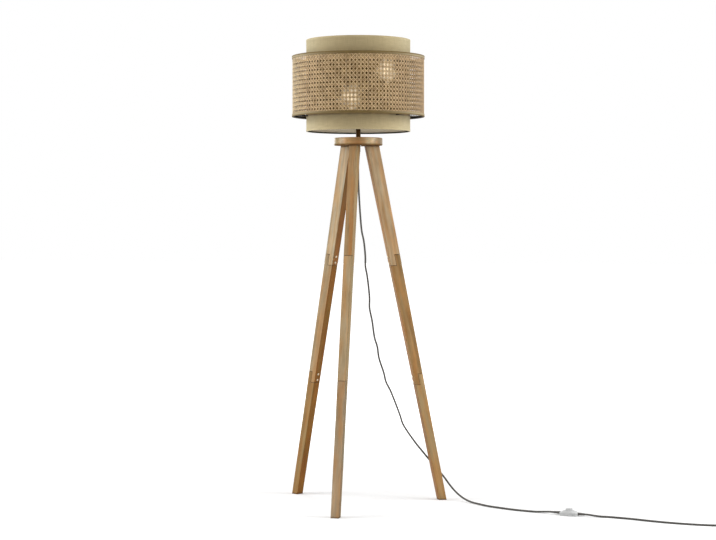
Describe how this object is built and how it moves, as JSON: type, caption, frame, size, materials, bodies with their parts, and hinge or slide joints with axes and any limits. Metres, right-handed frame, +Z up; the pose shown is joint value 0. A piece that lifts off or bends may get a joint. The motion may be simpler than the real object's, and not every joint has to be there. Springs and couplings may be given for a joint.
{
  "type": "rattan floor lamp",
  "caption": "Tripod floor lamp: sectioned wooden legs under a round head, a fabric drum inside a drum of cane webbing, and a cord with a foot switch and plug.",
  "frame": {"origin": "on the floor, under the middle of the lamp's own bounding box, cord left out", "axes": "+Z up; -Y towards the front leg; +X to the right, where the cord runs off along the floor"},
  "size_m": [1.5265, 0.511, 1.5],
  "materials": {
    "head_wood": "clear matt lacquer over a reddish tan turned disc",
    "pale_wood": "clear matt lacquer over pale hardwood",
    "warm_wood": "clear matt lacquer over warm tan hardwood",
    "sage_fabric": "plain woven, khaki sage",
    "white_lining": "white laminated film",
    "cane": "natural cane webbing and its edge strip",
    "black_wire": "satin black powder coat",
    "bronze": "dark bronze",
    "brass": "polished, a little dulled",
    "steel": "zinc plated",
    "black_plastic": "fine matt",
    "white_ceramic": "glazed",
    "grey_textile": "braided textile over a round cord",
    "grey_rubber": "smooth",
    "clear_white_plastic": "milky, slightly see-through"
  },
  "bodies": {
    "lamp": {"head_disc": "head_wood", "leg_front_upper": "pale_wood", "leg_front_middle": "warm_wood", "leg_front_lower": "warm_wood", "leg_right_upper": "pale_wood", "leg_right_middle": "warm_wood", "leg_right_lower": "warm_wood", "leg_left_upper": "pale_wood", "leg_left_middle": "warm_wood", "leg_left_lower": "warm_wood", "lap_screw_front_low_a": "brass", "lap_screw_front_low_b": "brass", "lap_screw_front_high_a": "brass", "lap_screw_front_high_b": "brass", "head_bolt_front": "steel", "lap_screw_right_low_a": "brass", "lap_screw_right_low_b": "brass", "lap_screw_right_high_a": "brass", "lap_screw_right_high_b": "brass", "head_bolt_right": "steel", "lap_screw_left_low_a": "brass", "lap_screw_left_low_b": "brass", "lap_screw_left_high_a": "brass", "lap_screw_left_high_b": "brass", "head_bolt_left": "steel", "stem_pipe": "steel", "stem_sleeve": "bronze", "stem_washer": "steel", "stem_nut": "steel", "cord_grip": "black_plastic", "holder_cap": "black_plastic", "holder_skirt": "black_plastic", "holder_insert": "white_ceramic", "holder_contact": "brass", "clamp_ring": "black_plastic", "shade_frame": "black_wire", "inner_drum_cover": "sage_fabric", "inner_drum_liner": "white_lining", "inner_ring_top": "black_wire", "inner_ring_bottom": "black_wire", "cane_web": "cane", "cane_ring_top": "black_wire", "cane_trim_top": "cane", "cane_trim_bottom": "cane", "switch_base": "clear_white_plastic", "switch_cover": "clear_white_plastic", "switch_spring": "steel", "switch_core": "black_plastic", "switch_sleeve_in": "grey_rubber", "switch_sleeve_out": "grey_rubber", "switch_screw_1": "steel", "switch_screw_2": "steel", "cord_upper": "grey_textile", "cord_lower": "grey_textile", "cord_coil": "grey_textile", "coil_tie": "black_plastic", "plug_body": "black_plastic", "plug_pin_1": "steel", "plug_pin_2": "steel"},
    "foot_button": {"switch_button": "clear_white_plastic"}
  },
  "joints": [
    {"name": "switch_press", "type": "slide", "parent": "lamp", "child": "foot_button", "axis": [0, 0, 1], "range_m": [-0.003, 0], "stiffness_N_per_m": 500, "springref_m": 0.002, "deforming": ["switch_spring"]}
  ]
}
